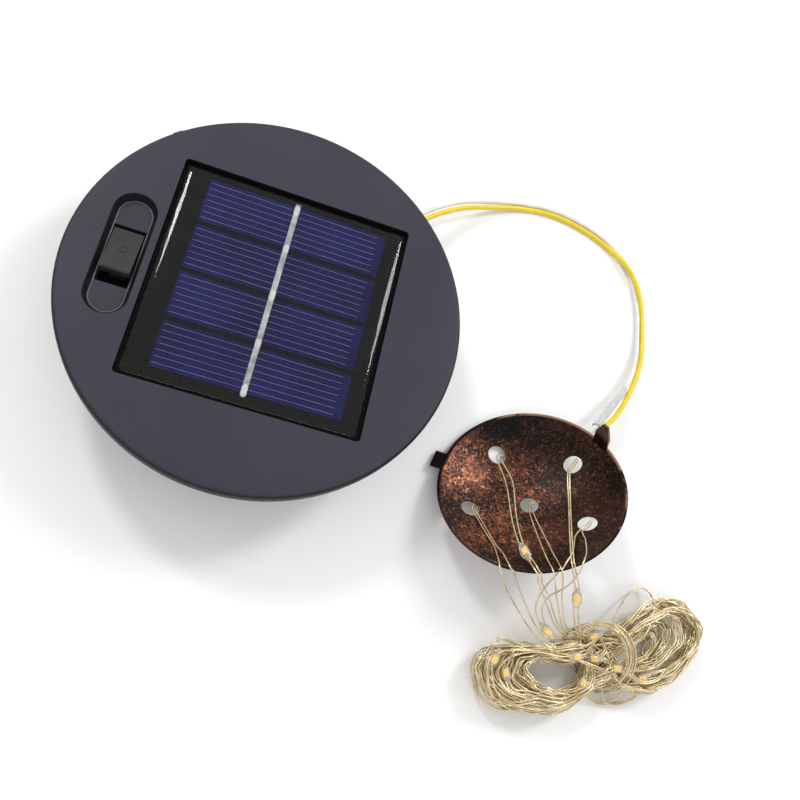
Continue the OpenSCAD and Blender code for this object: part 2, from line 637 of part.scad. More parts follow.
module hank() color([0.72, 0.66, 0.48]) linear_extrude(hank_h)
  for (lobe = hank_lobes) hull() for (c = lobe) translate(c[0]) circle(c[1], $fn = fine);

lid_cover();
panel_tape();
panel_board();
solar_cells();
cell_busbar();
panel_epoxy();
switch_body();
switch_rocker();
switch_pin();
switch_contact();
switch_terminals();
housing();
lid_gasket();
lid_screws();
battery_door();
battery_can();
battery_sleeve();
spring_contact();
plate_contact();
circuit_board();
board_screws();
driver_chip();
inductor();
diode();
panel_wires();
switch_wires();
battery_wires();
lead_grommet();
lead_yellow();
lead_white();
lead_sleeve();
splice_joints();
rose_plate();
strand_1();
strand_2();
strand_3();
strand_4();
strand_5();
light_drops();
light_chips();
hank();
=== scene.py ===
import math
import random

import bpy
from mathutils import Matrix, Vector, noise


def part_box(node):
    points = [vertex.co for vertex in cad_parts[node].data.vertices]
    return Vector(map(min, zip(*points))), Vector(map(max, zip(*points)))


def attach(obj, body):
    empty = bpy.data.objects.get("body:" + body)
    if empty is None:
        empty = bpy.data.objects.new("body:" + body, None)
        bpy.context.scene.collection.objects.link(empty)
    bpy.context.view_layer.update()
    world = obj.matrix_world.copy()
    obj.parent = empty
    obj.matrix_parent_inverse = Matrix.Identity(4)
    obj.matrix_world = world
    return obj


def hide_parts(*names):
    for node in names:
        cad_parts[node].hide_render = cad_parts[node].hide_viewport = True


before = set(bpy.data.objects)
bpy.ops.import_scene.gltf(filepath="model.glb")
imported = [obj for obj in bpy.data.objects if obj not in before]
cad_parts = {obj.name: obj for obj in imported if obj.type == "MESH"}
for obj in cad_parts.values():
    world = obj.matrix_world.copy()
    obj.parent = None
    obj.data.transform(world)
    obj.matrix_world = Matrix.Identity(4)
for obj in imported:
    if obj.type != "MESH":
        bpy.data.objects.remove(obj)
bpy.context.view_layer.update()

mm = 0.001
print("frame loaded,", len(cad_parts), "nodes")

# camera and light
studio = {
    "cameraPlace": (-0.00141, -0.07322, 0.17756),
    "cameraRight": (0.94151, 0.20499, 0.26745),
    "cameraUp": (-0.2824, 0.91303, 0.29433),
    "cameraBack": (-0.18385, -0.35264, 0.91752),
    "lens": 39.06,
    "worldLight": 0.74,
    # place, what it faces, width, height, power, colour
    "lamps": [
        ((-0.27, 0.30, 0.46), (0.0, 0.0, 0.0), 0.10, 0.12, 1.1, (1.0, 0.99, 0.97)),
        ((0.34, 0.28, 0.42), (0.0, 0.0, 0.0), 0.11, 0.22, 1.2, (0.98, 0.99, 1.0)),
        ((0.10, -0.42, 0.50), (0.05, -0.02, 0.0), 0.50, 0.30, 0.5, (1.0, 1.0, 1.0)),
    ],
    "floorHalf": 1.6,
    "floorColour": (0.93, 0.93, 0.93),
}


def makeCamera():
    data = bpy.data.cameras.new("camera")
    data.lens = studio["lens"]
    data.sensor_width = 36
    data.clip_start = 0.01
    data.clip_end = 20
    camera = bpy.data.objects.new("camera", data)
    bpy.context.scene.collection.objects.link(camera)
    turn = Matrix((studio["cameraRight"], studio["cameraUp"], studio["cameraBack"])).transposed()
    camera.matrix_world = Matrix.Translation(studio["cameraPlace"]) @ turn.to_4x4()
    bpy.context.scene.camera = camera


def makeLamps():
    for i, (place, target, width, height, power, colour) in enumerate(studio["lamps"]):
        data = bpy.data.lights.new(f"lamp{i + 1}", "AREA")
        data.shape = "RECTANGLE"
        data.size = width
        data.size_y = height
        data.energy = power
        data.color = colour
        lamp = bpy.data.objects.new(data.name, data)
        bpy.context.scene.collection.objects.link(lamp)
        lamp.location = place
        lamp.rotation_euler = (Vector(target) - Vector(place)).to_track_quat("-Z", "Y").to_euler()
    world = bpy.data.worlds.new("studio")
    world.use_nodes = True
    sky = world.node_tree.nodes["Background"]
    sky.inputs["Color"].default_value = (1.0, 1.0, 1.0, 1.0)
    sky.inputs["Strength"].default_value = studio["worldLight"]
    bpy.context.scene.world = world
    bpy.context.scene.view_settings.view_transform = "Standard"


makeCamera()
makeLamps()
print("camera and lamps placed")


# what several pieces share
def clearSelection():
    if bpy.context.object and bpy.context.object.mode != "OBJECT":
        bpy.ops.object.mode_set(mode="OBJECT")
    bpy.ops.object.select_all(action="DESELECT")


def newFinish(name, colour, rough, metal=0.0):
    finish = bpy.data.materials.new(name)
    finish.use_nodes = True
    shader = finish.node_tree.nodes["Principled BSDF"]
    shader.inputs["Base Color"].default_value = (*colour, 1.0)
    shader.inputs["Roughness"].default_value = rough
    shader.inputs["Metallic"].default_value = metal
    return finish, finish.node_tree.nodes, finish.node_tree.links, shader


def addNode(nodes, kind, **values):
    node = nodes.new(kind)
    for key, value in values.items():
        if hasattr(node, key):
            setattr(node, key, value)
        else:
            node.inputs[key.replace("_", " ")].default_value = value
    return node


def objectNoise(nodes, links, scale, detail=3.0, roughness=0.55):
    place = addNode(nodes, "ShaderNodeTexCoord")
    grain = addNode(nodes, "ShaderNodeTexNoise", Scale=scale, Detail=detail, Roughness=roughness)
    links.new(place.outputs["Object"], grain.inputs["Vector"])
    return grain.outputs["Fac"]


def rampOf(nodes, links, source, stops):
    ramp = addNode(nodes, "ShaderNodeValToRGB")
    while len(ramp.color_ramp.elements) < len(stops):
        ramp.color_ramp.elements.new(0.5)
    for element, (place, colour) in zip(ramp.color_ramp.elements, stops):
        element.position = place
        element.color = (*colour, 1.0)
    links.new(source, ramp.inputs["Fac"])
    return ramp.outputs["Color"]


def addBump(nodes, links, shader, source, strength, distance):
    bump = addNode(nodes, "ShaderNodeBump", Strength=strength, Distance=distance)
    links.new(source, bump.inputs["Height"])
    links.new(bump.outputs["Normal"], shader.inputs["Normal"])


def variedFinish(name, dark, light, scale, rough, metal=0.0, bump=0.0, bumpScale=0, depth=0.0):
    finish, nodes, links, shader = newFinish(name, light, rough, metal)
    grain = objectNoise(nodes, links, scale)
    tone = rampOf(nodes, links, grain, [(0.3, dark), (0.7, light)])
    links.new(tone, shader.inputs["Base Color"])
    if bump:
        addBump(nodes, links, shader, objectNoise(nodes, links, bumpScale), bump, depth)
    return finish, shader


def smoothFaces(piece):
    for face in piece.data.polygons:
        face.use_smooth = True


# cords
curveSteps = 12  # short pieces of curve between two route points


def smoothLine(points, step):
    # centripetal curve through every point, then evenly spaced
    pts = [Vector(p) for p in points]
    pts = [2 * pts[0] - pts[1], *pts, 2 * pts[-1] - pts[-2]]
    fine = []
    for i in range(1, len(pts) - 2):
        p0, p1, p2, p3 = pts[i - 1:i + 3]
        d1, d2, d3 = (max((b - a).length, 1e-9) ** 0.5 for a, b in ((p0, p1), (p1, p2), (p2, p3)))
        m1 = (p1 - p0) / d1 - (p2 - p0) / (d1 + d2) + (p2 - p1) / d2
        m2 = (p2 - p1) / d2 - (p3 - p1) / (d2 + d3) + (p3 - p2) / d3
        m1, m2 = m1 * d2, m2 * d2
        for j in range(curveSteps):
            s = j / curveSteps
            fine.append((2 * s ** 3 - 3 * s ** 2 + 1) * p1 + (s ** 3 - 2 * s ** 2 + s) * m1
                        + (3 * s ** 2 - 2 * s ** 3) * p2 + (s ** 3 - s ** 2) * m2)
    fine.append(pts[-2])
    gaps = [(b - a).length for a, b in zip(fine, fine[1:])]
    count = max(2, round(sum(gaps) / step))
    spaced, i, gone = [fine[0]], 0, 0.0
    for k in range(1, count):
        want = sum(gaps) * k / count
        while gone + gaps[i] < want:
            gone += gaps[i]
            i += 1
        spaced.append(fine[i].lerp(fine[i + 1], (want - gone) / gaps[i]))
    return [*spaced, fine[-1]]


def lineLength(line):
    return sum((b - a).length for a, b in zip(line, line[1:]))


def headings(line):
    last = len(line) - 1
    return [(line[min(i + 1, last)] - line[max(i - 1, 0)]).normalized() for i in range(len(line))]


def tubeMesh(name, lines, radius, sides):
    # closed round tubes along the lines, with a frame that is carried along so that they don't twist
    verts, faces = [], []
    for line in lines:
        start = len(verts)
        ways = headings(line)
        side = ways[0].orthogonal().normalized()
        for p, way in zip(line, ways):
            side = (side - way * side.dot(way)).normalized()
            other = way.cross(side)
            for j in range(sides):
                a = 2 * math.pi * j / sides
                verts.append(p + radius * (math.cos(a) * side + math.sin(a) * other))
        rings = len(line)
        for i in range(rings - 1):
            for j in range(sides):
                k = (j + 1) % sides
                a, b = start + i * sides, start + (i + 1) * sides
                faces.append((a + j, a + k, b + k, b + j))
        faces.append([start + j for j in reversed(range(sides))])
        faces.append([start + (rings - 1) * sides + j for j in range(sides)])
    mesh = bpy.data.meshes.new(name)
    mesh.from_pydata([v * mm for v in verts], [], faces)
    mesh.validate()
    piece = bpy.data.objects.new(name, mesh)
    bpy.context.scene.collection.objects.link(piece)
    for face in mesh.polygons:
        face.use_smooth = len(face.vertices) == 4
    return piece


lead = {
    "wire": 1.2,
    "length": 0.142,
    "step": 1.6,
    "yellowRoute": [
        (13.5, 17.5, 6.8), (19, 24, 8.8), (22, 26.9, 9), (25.2, 31, 9), (29.5, 37, 7.8),
        (38, 45, 4.6), (46, 49.8, 2), (54, 53.2, 0.7), (62, 54.4, 0.6), (70, 53.4, 0.6),
        (77, 51, 0.7), (83, 46.8, 1.7), (87, 41.5, 1.7), (89.4, 35, 0.8), (90.3, 29, 0.7),
        (90.3, 23.5, 1.4), (88.8, 16.6, 2.9), (86, 9.6, 4.9), (82.5, 3.2, 7.2), (78.9, -1.2, 8.8)],
    "whiteRoute": [
        (12, 18.5, 6.8), (17.8, 25, 8.8), (20.8, 27.8, 9), (24, 31.9, 9), (28.5, 38.2, 7.8),
        (37, 46.3, 4.6), (45.3, 51.2, 2), (53.8, 54.6, 0.7), (62.2, 55.8, 0.6), (70.6, 54.8, 0.6),
        (77.8, 52.2, 0.6), (83.6, 47.6, 0.6), (86.4, 41.6, 0.6), (88.2, 35, 0.6), (88.9, 29, 0.7),
        (88.9, 23.5, 1.4), (87.6, 17, 2.9), (85.4, 12, 4.4), (77.6, -0.8, 8.7)],
}


def makeLead(name, route):
    data = bpy.data.curves.new(name, "CURVE")
    data.dimensions = "3D"
    spline = data.splines.new("POLY")
    line = smoothLine(route, lead["step"])
    spline.points.add(len(line) - 1)
    for point, place in zip(spline.points, line):
        point.co = (*(place * mm), 1.0)
    data.bevel_depth = lead["wire"] / 2 * mm
    data.bevel_resolution = 5
    data.use_fill_caps = True
    piece = bpy.data.objects.new(name, data)
    bpy.context.scene.collection.objects.link(piece)
    spline.use_smooth = True
    return piece, lineLength(line)


leadYellow, yellowLength = makeLead("leadYellow", lead["yellowRoute"])
leadWhite, whiteLength = makeLead("leadWhite", lead["whiteRoute"])
print("lead lengths", round(yellowLength, 1), round(whiteLength, 1))

strands = {
    "span": 0.7,  # width of a pair of wires
    "wire": 0.34,
    "length": 1.1,
    "turns": 9,
    "step": 1.1,
    "sides": 6,
    "look": (-0.18, -0.35, 0.92),
    # past the route: half the gap between the two wires, how much it drifts, and their twist per step
    "hiddenGap": 0.3, "gapDrift": 0.22, "driftRate": 0.06, "twist": 0.035,
    "room": {"right": 110.4, "front": -64.3, "low": 0.2, "high": 19.9},
    # places along each strand, then half the gap between its two wires there
    "routes": [
        ([(77.4, -2.8, 7.6), (73, -2.4, 2.4), (66, -5, 0.6), (60.4, -10.2, 0.4), (58.6, -11.9, 1.8),
          (60.7, -17.9, 5.2), (61.4, -27.1, 10.3), (62.3, -32.1, 13.3), (63.3, -34.5, 14.7),
          (64.3, -36.1, 15.9), (65.2, -37.9, 17.4), (67.2, -39.5, 15), (70.5, -41.8, 12), (76.3, -46.1, 6.8)],
         [0.25, 0.3, 0.3, 0.3, 0.4, 0.75, 0.5, 0.4, 0.4, 0.35, 0.3, 0.3, 0.45, 0.3]),
        ([(78.6, -3.2, 7.2), (76.4, -7.5, 5.4), (74.4, -10.6, 6.4), (73, -12.6, 8), (73.2, -20.4, 10.2),
          (71.8, -35.2, 19.1), (73.9, -37.6, 17), (75.4, -39.5, 15), (76.5, -41.5, 13), (77.8, -43.5, 11),
          (80.6, -46.6, 8)],
         [0.25, 0.3, 0.3, 0.25, 0.2, 0.25, 0.35, 0.5, 0.5, 0.45, 0.35]),
        ([(76.6, -2.4, 7.2), (68, -5.5, 1.4), (65, -15, 0.9), (57.6, -23.4, 1.2), (54.2, -25, 3.6),
          (55.9, -28.7, 6.0), (58.2, -33.2, 9.6), (59, -36, 12.6), (59.4, -38.9, 15.4), (63.3, -41.1, 10.6),
          (66.9, -43.6, 7.5), (71.4, -47.6, 6), (75.5, -50, 6)],
         [0.25, 0.3, 0.3, 0.3, 0.25, 0.3, 0.2, 0.67, 1.0, 1.3, 1.0, 0.6, 0.3]),
        ([(79.3, -4, 7.4), (80.5, -12, 6.2), (79.6, -21, 8.8), (77.2, -24.6, 12.4), (75.2, -26.6, 13.3),
          (74.6, -28.8, 14.7), (73.6, -32.4, 17.5), (71.8, -35.9, 19.3), (72, -38.1, 15.5),
          (70.3, -40.8, 11.5), (70, -43, 9.6), (71.8, -45.6, 7.6), (75, -48, 6.8)],
         [0.25, 0.3, 0.3, 0.3, 0.3, 1.1, 1.5, 1.65, 1.3, 0.9, 0.7, 0.5, 0.3]),
        ([(77.9, -3.6, 6.6), (72, -10, 2.6), (68, -19.4, 2.6), (66.7, -21.9, 4.6), (68.2, -32, 13.2),
          (69.4, -37.6, 18), (73.5, -41.5, 11.5), (78, -46, 6.8)],
         [0.25, 0.3, 0.3, 0.3, 0.75, 0.9, 0.5, 0.3])],
}
# outlines of the hank's two loops, seen from above, each from the knot out and back to it
hank = {
    "leftOuter": [(84.6, -57.4), (80.5, -61), (76.8, -63), (72.6, -63.9), (67.5, -63.8), (63, -62.4),
                  (60.4, -59.8), (59.8, -56.8), (61, -54.2), (64, -52.5), (69, -51), (75.8, -49.4),
                  (81.4, -47.8)],
    "leftInner": [(84.4, -54.8), (82.4, -56.9), (79.6, -58), (77, -58.3), (74.4, -58), (72.4, -57.3),
                  (71.3, -56), (71.4, -54.6), (72.6, -53.5), (74.8, -52.9), (77.4, -52.4), (80.4, -51.9),
                  (83, -51.2)],
    "rightOuter": [(92.5, -53.6), (96.5, -54.4), (100.3, -53.4), (104, -50.8), (107.4, -47), (109.6, -42.8),
                   (109.9, -38.8), (107.9, -36), (104.9, -34.2), (101.7, -34), (98.3, -35.5), (93.5, -40),
                   (90, -44.2)],
    "rightMid": [(92, -51.5), (95.5, -52.3), (99, -51.3), (102.6, -48.7), (106, -45), (108.2, -42),
                 (108.7, -38.8), (107, -36.8), (104.5, -35.8), (101.8, -36.2), (98.6, -37.8), (94, -42),
                 (90.6, -46)],
    "rightShort": [(91.8, -50.5), (94.8, -51), (98, -50), (101, -47.6), (103.2, -44.8), (104.4, -42),
                   (104.5, -39.2), (103.2, -37.4), (101.6, -37), (99.4, -37.8), (96.8, -40), (93.6, -43.2),
                   (90.8, -46.6)],
    "rightInner": [(91.2, -49.5), (93, -49.8), (94.8, -49.4), (96.4, -48.2), (97.8, -46.6), (98.6, -45),
                   (98.6, -43.6), (98, -42.8), (97, -42.8), (95.8, -43.4), (94.4, -44.6), (92.8, -46),
                   (91, -47.6)],
    "middle": (87.4, -50.0),
    "across": (-0.39, 0.92),
    "midHeight": 4.0,
    "halfHeight": 3.4,
    "lowest": 0.4,
    "wobble": 0.42,
    "seed": 11,
    # how fast each choice runs through its range from turn to turn, and where it starts
    "leftShare": (7.37, 0.11), "rightShare": (4.71, 0.37),
    "leftLevel": (13.9, 0.29), "rightLevel": (9.3, 0.63),
    # how far from the knot's middle a turn passes where it crosses over, and on each side where it doesn't
    "knotCrossing": (-4, 5), "knotFar": (0.5, 6.4), "knotNear": (0.5, 4.5),
    # where each strand goes after its last turn
    "tails": [
        [(85, -46.4, 7.2), (88.1, -42.6, 6), (90.9, -38, 4), (93.9, -34.2, 2.2), (96.9, -32, 1.4),
         (98.8, -32.9, 2.2), (98.8, -35.4, 4), (97.7, -38.6, 6.2), (95.4, -43.3, 7.6), (91, -47, 6.8)],
        [(81.4, -45.4, 6), (85.6, -43.1, 7.9), (89.8, -44.2, 8.6), (92.4, -47.8, 8.5), (93, -52, 6.4),
         (91.6, -55, 3), (88.4, -55.8, 0.8), (84.6, -53, 0.5), (81.6, -49, 0.6), (80.2, -46.4, 2.6),
         (81.4, -44.6, 6), (85.6, -42.5, 7.6), (90.2, -43.5, 8.7), (93.2, -47.4, 8.7), (93.9, -52, 6.8),
         (92.4, -55.6, 3.2), (89, -56.4, 1)],
        [(84, -50, 5), (85.4, -54.4, 4), (86.9, -57, 2.4), (88.9, -58.2, 1.2), (91.6, -58.2, 0.9),
         (93.7, -56.8, 1.6), (94.4, -54.6, 3), (92, -51, 5)],
        [(80.6, -46, 5.2), (84.6, -43.6, 7.6), (88.6, -44.4, 8.6), (91.4, -48, 8.7), (92.2, -52, 6.8),
         (91, -54.6, 3.4), (88, -55.2, 0.9), (84.2, -52.4, 0.5), (81, -48.6, 0.7), (79.6, -46.2, 2.6),
         (80.8, -44.8, 5.6), (84.8, -43, 7.6), (89.2, -43.9, 8.8), (92, -47.4, 9), (92.6, -51.6, 7.4),
         (91.8, -54.8, 4)],
        [(85.4, -50, 4.4), (89.2, -55, 3.4), (91.3, -57.7, 1.6), (93.9, -57.7, 0.9), (96.7, -56.6, 1.2),
         (97.9, -55.4, 2.2), (96.6, -53, 4), (93.4, -50.4, 5.4)]],
}


def outlineBetween(inner, outer, share):
    return [(Vector(a) + (Vector(b) - Vector(a)) * share) for a, b in zip(hank[inner], hank[outer])]


def spreadAt(choice, order):
    rate, start = hank[choice]
    return (order * rate + start) % 1.0


def strandLine(i):
    rnd = random.Random(hank["seed"] + i)
    wobble = hank["wobble"]
    points = [Vector(p) for p in strands["routes"][i][0]]
    seen = len(points)
    turns = strands["turns"]
    middle, across = Vector(hank["middle"]), Vector(hank["across"])

    def height(share, level):
        room = hank["halfHeight"] * math.sqrt(1 - 0.8 * (2 * share - 1) ** 2)
        return hank["midHeight"] + room * level

    for turn in range(turns):
        order = (i + 5 * turn) / (5 * turns)
        leftShare, rightShare = spreadAt("leftShare", order), spreadAt("rightShare", order)
        leftLevel = 2 * spreadAt("leftLevel", order) - 1
        rightLevel = 2 * spreadAt("rightLevel", order) - 1
        left = outlineBetween("leftInner", "leftOuter", leftShare)
        if rightShare < 0.5:
            right = outlineBetween("rightInner", "rightShort", 2 * rightShare)
        else:
            right = outlineBetween("rightMid", "rightOuter", 2 * rightShare - 1)
        knotIn = middle + across * rnd.uniform(*hank["knotCrossing"])
        knotOut = middle + across * rnd.uniform(*hank["knotCrossing"])
        if (i + turn) % 2:  # every other turn goes round without crossing itself
            right = right[::-1]
            knotIn = middle + across * rnd.uniform(*hank["knotFar"])
            knotOut = middle - across * rnd.uniform(*hank["knotNear"])
        turnPoints = [(knotIn, leftLevel), *[(p, rightLevel) for p in right], (knotOut, -leftLevel),
                      *[(p, leftLevel) for p in left]]
        for p, level in turnPoints:
            share = leftShare if p.x < middle.x else rightShare
            points.append(Vector((p.x + rnd.gauss(0, wobble), p.y + rnd.gauss(0, wobble),
                                  max(hank["lowest"], height(share, level) + rnd.gauss(0, wobble)))))
    points += [Vector(p) for p in hank["tails"][i]]
    return points, seen


rose = {
    "rimMiddle": (64.04, -19.6, 10.58), "axis": (-0.3616, 0.2876, 0.8869), "rim": 20.1,
    "deep": 24.49, "outer": 31.7, "sheet": 0.5, "clear": 0.28,
    "overRim": 0.25,  # least height of a wire over the rim
    "bowlEnd": 1.2,  # how far in from the rim a wire follows the bowl
    # how far out from the rim pushing ends, a wire counts as past it, and passing below ends
    "pushEnd": 0.2, "pastRim": 0.3, "underEnd": 0.4,
    # the most push within the rim, past it, and how that fades with each step
    "push": 6, "pushOutside": 2.4, "pushFade": 0.6,
    "holePoints": (4, 3, 4, 3, 3),  # the route point of each strand that lies in its hole
}


def roseRelative(p):
    fromRim = p - Vector(rose["rimMiddle"])
    along = fromRim.dot(Vector(rose["axis"]))
    return along, (fromRim - Vector(rose["axis"]) * along).length


def clearOfRose(p, above, most):
    # a wire lies just above the dish and its rim past its hole, and just below the dish before
    axis, rim = Vector(rose["axis"]), rose["rim"]
    along, around = roseRelative(p)
    if above:
        bowl = rose["outer"] - rose["sheet"] - rose["clear"]
        least = rose["overRim"]
        if around < rim - rose["bowlEnd"]:
            least = rose["deep"] - math.sqrt(bowl ** 2 - around ** 2)
        return p + axis * min(max(0.0, least - along), most if around < rim + rose["pushEnd"] else 0.0)
    if around > rim + rose["underEnd"]:
        return p
    bowl = rose["outer"] + rose["clear"]
    return p - axis * max(0.0, along - rose["deep"] + math.sqrt(bowl ** 2 - around ** 2))


def kept(p):
    # inside the room that the hank and cords have
    room = strands["room"]
    height = min(max(p.z, room["low"]), room["high"])
    return Vector((min(p.x, room["right"]), max(p.y, room["front"]), height))


def pairLines(i):
    points, seen = strandLine(i)
    route, gaps = strands["routes"][i]
    line = smoothLine(points, strands["step"])
    look = Vector(strands["look"]).normalized()
    ways = headings(line)
    marks, at = [0], 0
    for p in points[1:seen]:  # the step of the line that lies nearest each route point
        at = min(range(at, min(at + 60, len(line))), key=lambda k: (line[k] - p).length)
        marks.append(at)
    hole = marks[rose["holePoints"][i]]
    past = rose["rim"] + rose["pastRim"]
    rim = next(k for k in range(hole, len(line)) if roseRelative(line[k])[1] > past)
    one, two, side = [], [], None
    for k, (p, way) in enumerate(zip(line, ways)):
        if k <= marks[-1]:
            j = max(m for m in range(len(marks)) if marks[m] <= k)
            n = min(j + 1, len(marks) - 1)
            s = 0 if n == j else (k - marks[j]) / max(marks[n] - marks[j], 1)
            gap = gaps[j] + (gaps[n] - gaps[j]) * s
            turn = 0.0
        else:
            drift = noise.noise(Vector((k * strands["driftRate"], i * 3.1, 0.5)))
            gap = strands["hiddenGap"] + strands["gapDrift"] * drift
            turn = (k - marks[-1]) * strands["twist"]
        flat = way.cross(look)
        if side is None or flat.length > 0.25:
            side = flat.normalized() if side is None or flat.dot(side) > 0 else -flat.normalized()
        side = (side - way * side.dot(way)).normalized()
        off = side * math.cos(turn) + way.cross(side) * math.sin(turn)
        for wire, place in ((one, p + off * gap), (two, p - off * gap)):
            if k < rim + 4 and abs(k - hole) > 2:
                most = rose["push"] if k < rim else rose["pushOutside"] - rose["pushFade"] * (k - rim)
                place = clearOfRose(place, k > hole, most)
            wire.append(kept(place))
    return [(a + b) / 2 for a, b in zip(one, two)], one, two


strandPieces, strandLines = [], []
for i in range(5):
    line, one, two = pairLines(i)
    piece = tubeMesh(f"strand{i + 1}", [one, two], strands["wire"] / 2, strands["sides"])
    strandPieces.append(piece)
    strandLines.append(line)
    print("strand", i + 1, "length", round(lineLength(line), 1), "mm,", len(piece.data.polygons), "faces")

# light drops
drops = {
    "length": 4.8, "width": 2.1, "endsFrom": 0.62, "endShape": (0.72, 0.62, 1.06),
    "chip": (1.4, 1.05, 0.5), "chipEdge": 0.1, "chipLift": 0.45,
    # a place that the drop is nearest to, and its strand where that is plain
    "places": [
        (62.8, -34.0, 14.4, 0), (76.0, -40.8, 13.8, 1), (74.0, -46.6, 7.2, 3), (79.1, -48.6, 8, None),
        (81.2, -50.9, 8, None), (84.6, -45.9, 8, None), (85.7, -50.3, 8, None), (90.7, -50.8, 7.5, None),
        (96.8, -51.5, 6.5, None), (95.2, -54.1, 5, None), (99.5, -53, 5.5, None), (83, -55.6, 6, None),
        (64.1, -55.3, 7, None), (65.9, -57.1, 7, None)],
}


def dropModel():
    clearSelection()
    bpy.ops.mesh.primitive_uv_sphere_add(segments=20, ring_count=14, radius=1.0)
    drop = bpy.context.object
    drop.scale = (drops["width"] / 2 * mm, drops["width"] / 2 * mm, drops["length"] / 2 * mm)
    bpy.ops.object.transform_apply(location=False, rotation=False, scale=True)
    bpy.ops.object.mode_set(mode="EDIT")
    bpy.ops.mesh.select_all(action="DESELECT")
    bpy.ops.object.mode_set(mode="OBJECT")
    for v in drop.data.vertices:  # the ends run out along the wires
        v.select = abs(v.co.z) > drops["endsFrom"] * drops["length"] / 2 * mm
    bpy.ops.object.mode_set(mode="EDIT")
    bpy.ops.transform.resize(value=drops["endShape"])
    bpy.ops.mesh.select_all(action="SELECT")
    bpy.ops.mesh.faces_shade_smooth()
    bpy.ops.object.mode_set(mode="OBJECT")
    return drop


def chipModel():
    clearSelection()
    bpy.ops.mesh.primitive_cube_add(size=1.0)
    chip = bpy.context.object
    chip.scale = (drops["chip"][1] * mm, drops["chip"][2] * mm, drops["chip"][0] * mm)
    bpy.ops.object.transform_apply(location=False, rotation=False, scale=True)
    bpy.ops.object.mode_set(mode="EDIT")
    bpy.ops.mesh.select_all(action="SELECT")
    bpy.ops.mesh.bevel(offset=drops["chipEdge"] * mm, segments=2)
    bpy.ops.object.mode_set(mode="OBJECT")
    return chip


def placedCopy(model, name, matrix):
    piece = model.copy()
    piece.data = model.data.copy()
    piece.data.transform(matrix)
    piece.matrix_world = Matrix.Identity(4)
    piece.name = name
    bpy.context.scene.collection.objects.link(piece)
    return piece


def nearestStep(target, owner):
    # the strand and the step along it that pass nearest, with height counted for less
    best = None
    for i in range(5) if owner is None else [owner]:
        for k in range(2, len(strandLines[i]) - 2):
            away = strandLines[i][k] - target
            score = math.hypot(away.x, away.y) + 0.35 * abs(away.z)
            if best is None or score < best[0]:
                best = (score, i, k)
    return best[1:]


dropSets = {i: [] for i in range(5)}
dropOne, chipOne = dropModel(), chipModel()
look = Vector(strands["look"]).normalized()
for n, (*target, owner) in enumerate(drops["places"]):
    i, k = nearestStep(Vector(target), owner)
    way = (strandLines[i][k + 1] - strandLines[i][k - 1]).normalized()
    face = (look - way * look.dot(way)).normalized()
    turn = Matrix((way.cross(face) * -1, face, way)).transposed().to_4x4()
    place = Matrix.Translation(strandLines[i][k] * mm) @ turn
    dropSets[i].append(placedCopy(dropOne, f"lightDrop{n + 1}", place))
    lifted = place @ Matrix.Translation((0, drops["chipLift"] * mm, 0))
    dropSets[i].append(placedCopy(chipOne, f"lightChip{n + 1}", lifted))
for model in (dropOne, chipOne):
    bpy.data.objects.remove(model, do_unlink=True)
print("light drops placed")

# finishes of wires and drops
wireYellow, _ = variedFinish("wireYellow", (0.74, 0.53, 0.006), (0.85, 0.63, 0.01), 260, 0.35)
wireWhite, _ = variedFinish("wireWhite", (0.68, 0.68, 0.66), (0.80, 0.80, 0.78), 260, 0.38)
strandMetal, _ = variedFinish("strandMetal", (0.55, 0.42, 0.2), (0.93, 0.82, 0.58), 420, 0.26, 0.6)
clearResin, shader = variedFinish("clearResin", (0.93, 0.88, 0.7), (1.0, 0.98, 0.86), 500, 0.12)
shader.inputs["Transmission Weight"].default_value = 0.75
shader.inputs["IOR"].default_value = 1.45
chipPaintedGlow, shader = variedFinish("chipPaintedGlow", (0.95, 0.62, 0.02), (1.0, 0.74, 0.04), 2400, 0.45)
# painted glow: the chips give off a faint light, though the lights are off
shader.inputs["Emission Color"].default_value = (1.0, 0.6, 0.0, 1.0)
shader.inputs["Emission Strength"].default_value = 0.3


def dress(piece, finish):
    piece.data.materials.clear()
    piece.data.materials.append(finish)


dress(leadYellow, wireYellow)
dress(leadWhite, wireWhite)
for i, piece in enumerate(strandPieces):
    dress(piece, strandMetal)
    for extra in dropSets[i]:
        dress(extra, clearResin if extra.name.startswith("lightDrop") else chipPaintedGlow)

for piece, node, line in (
        (leadYellow, "lead_yellow", "yellowRoute"), (leadWhite, "lead_white", "whiteRoute")):
    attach(piece, "root")
    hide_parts(node)
for i, piece in enumerate(strandPieces):
    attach(piece, "root")
    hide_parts(f"strand_{i + 1}", "hank")
    for extra in dropSets[i]:
        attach(extra, "root")
        isDrop = extra.name.startswith("lightDrop")
        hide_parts("light_drops" if isDrop else "light_chips")

# panel
panel = {
    "fingerPitch": 1.34, "fingers": 7, "fingerWide": 0.1, "fingerTall": 0.012,
    "strips": 4, "stripGap": 1.1, "margins": (0.4, 1.7),
    "fingerEdge": 0.3,  # share of a finger's thickness that its soft edges take
    "domeCorner": 0.9, "domeFoot": 18.86, "domeBlock": 0.12,
    # how far each step of the rim comes in, and its height above the foot
    "domeSteps": [(0.06, 0.26), (0.2, 0.36), (0.45, 0.47), (0.8, 0.575), (1.15, 0.655), (1.5, 0.705),
                  (1.9, 0.73), (2.4, 0.74), (2.9, 0.74)],
    "solderSize": (1.4, 2.4, 0.26),
    "solderEnds": (1.2, 1.6), "solderShift": 0.3,
}


def cornersOf(node):
    return [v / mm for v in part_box(node)]


def stripTall():
    low, high = cornersOf("solar_cells")
    return (high.y - low.y - panel["stripGap"] * (panel["strips"] - 1)) / panel["strips"]


